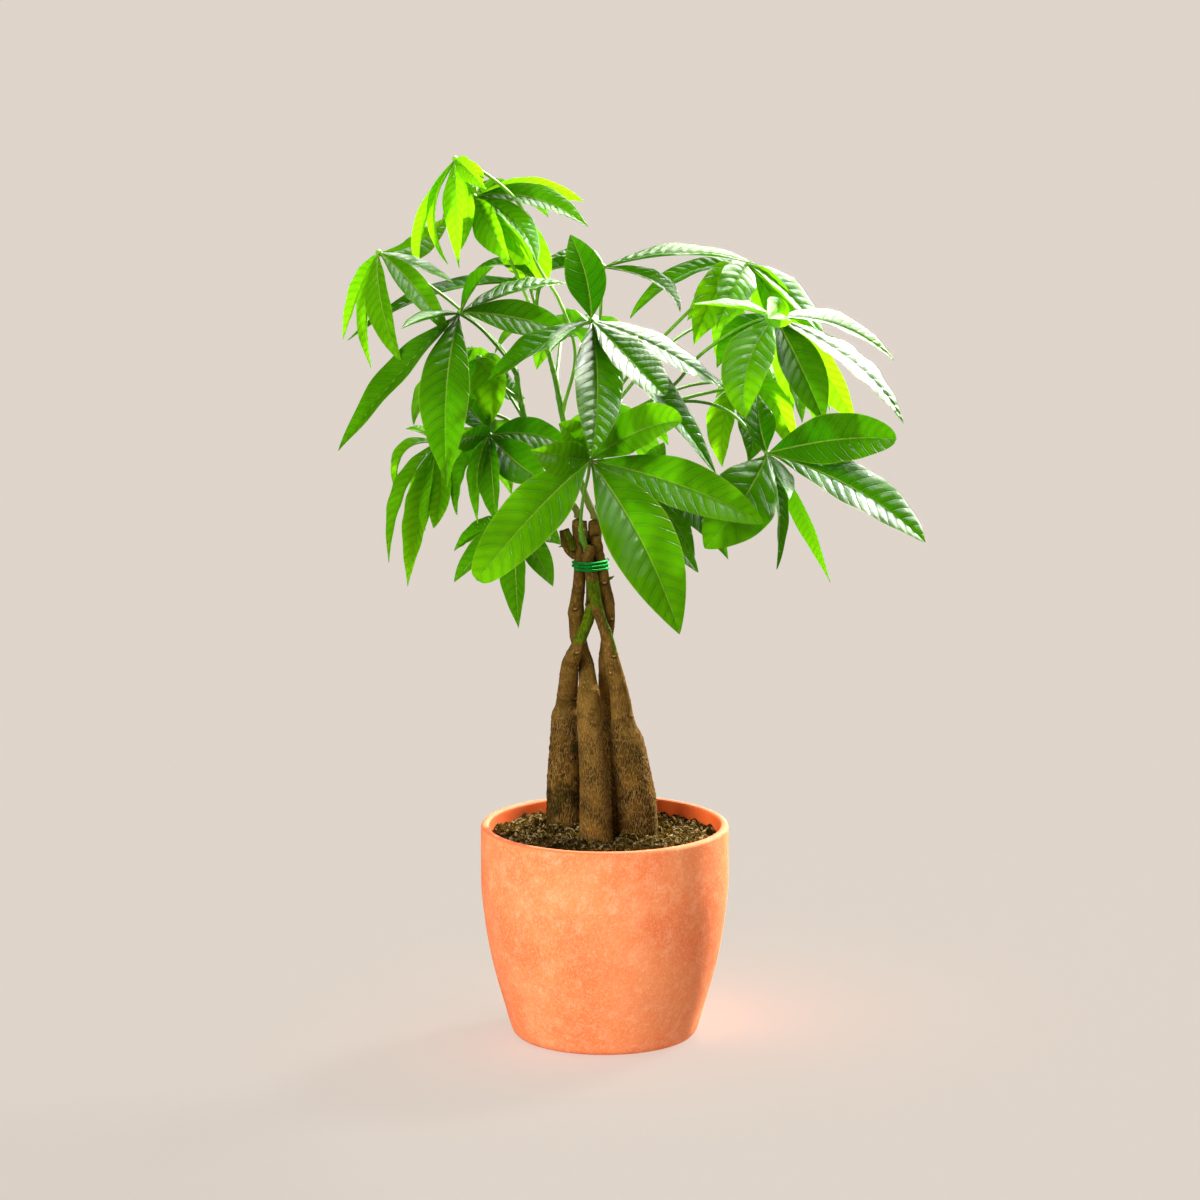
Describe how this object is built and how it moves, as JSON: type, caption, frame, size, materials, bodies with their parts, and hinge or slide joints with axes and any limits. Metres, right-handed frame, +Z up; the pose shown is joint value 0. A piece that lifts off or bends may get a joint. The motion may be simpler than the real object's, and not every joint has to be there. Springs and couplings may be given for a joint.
{
  "type": "potted money tree",
  "caption": "Potted money tree with bound swollen trunks and palmate leaves in a round terracotta-coloured pot.",
  "frame": {"origin": "middle of the pot's flat underside, on the surface that it stands on", "axes": "+Z up along the pot's axis, -Y toward the plant's front, +X to its right seen from the front"},
  "size_m": [0.389, 0.2849, 0.606],
  "materials": {
    "pot": "matte",
    "soil": "matte",
    "bark": "matte",
    "tie": "gloss",
    "leaf": "satin",
    "young_leaf": "satin"
  },
  "bodies": {
    "root": {"pot": "pot", "soil": "soil", "trunk_left": "bark", "trunk_front": "bark", "trunk_right": "bark", "trunk_back": "bark", "wire_tie": "tie", "leafy_stem_left": "leaf", "leafy_stem_top": "young_leaf", "leafy_stem_right": "leaf", "leafy_stem_front": "leaf"}
  },
  "joints": []
}
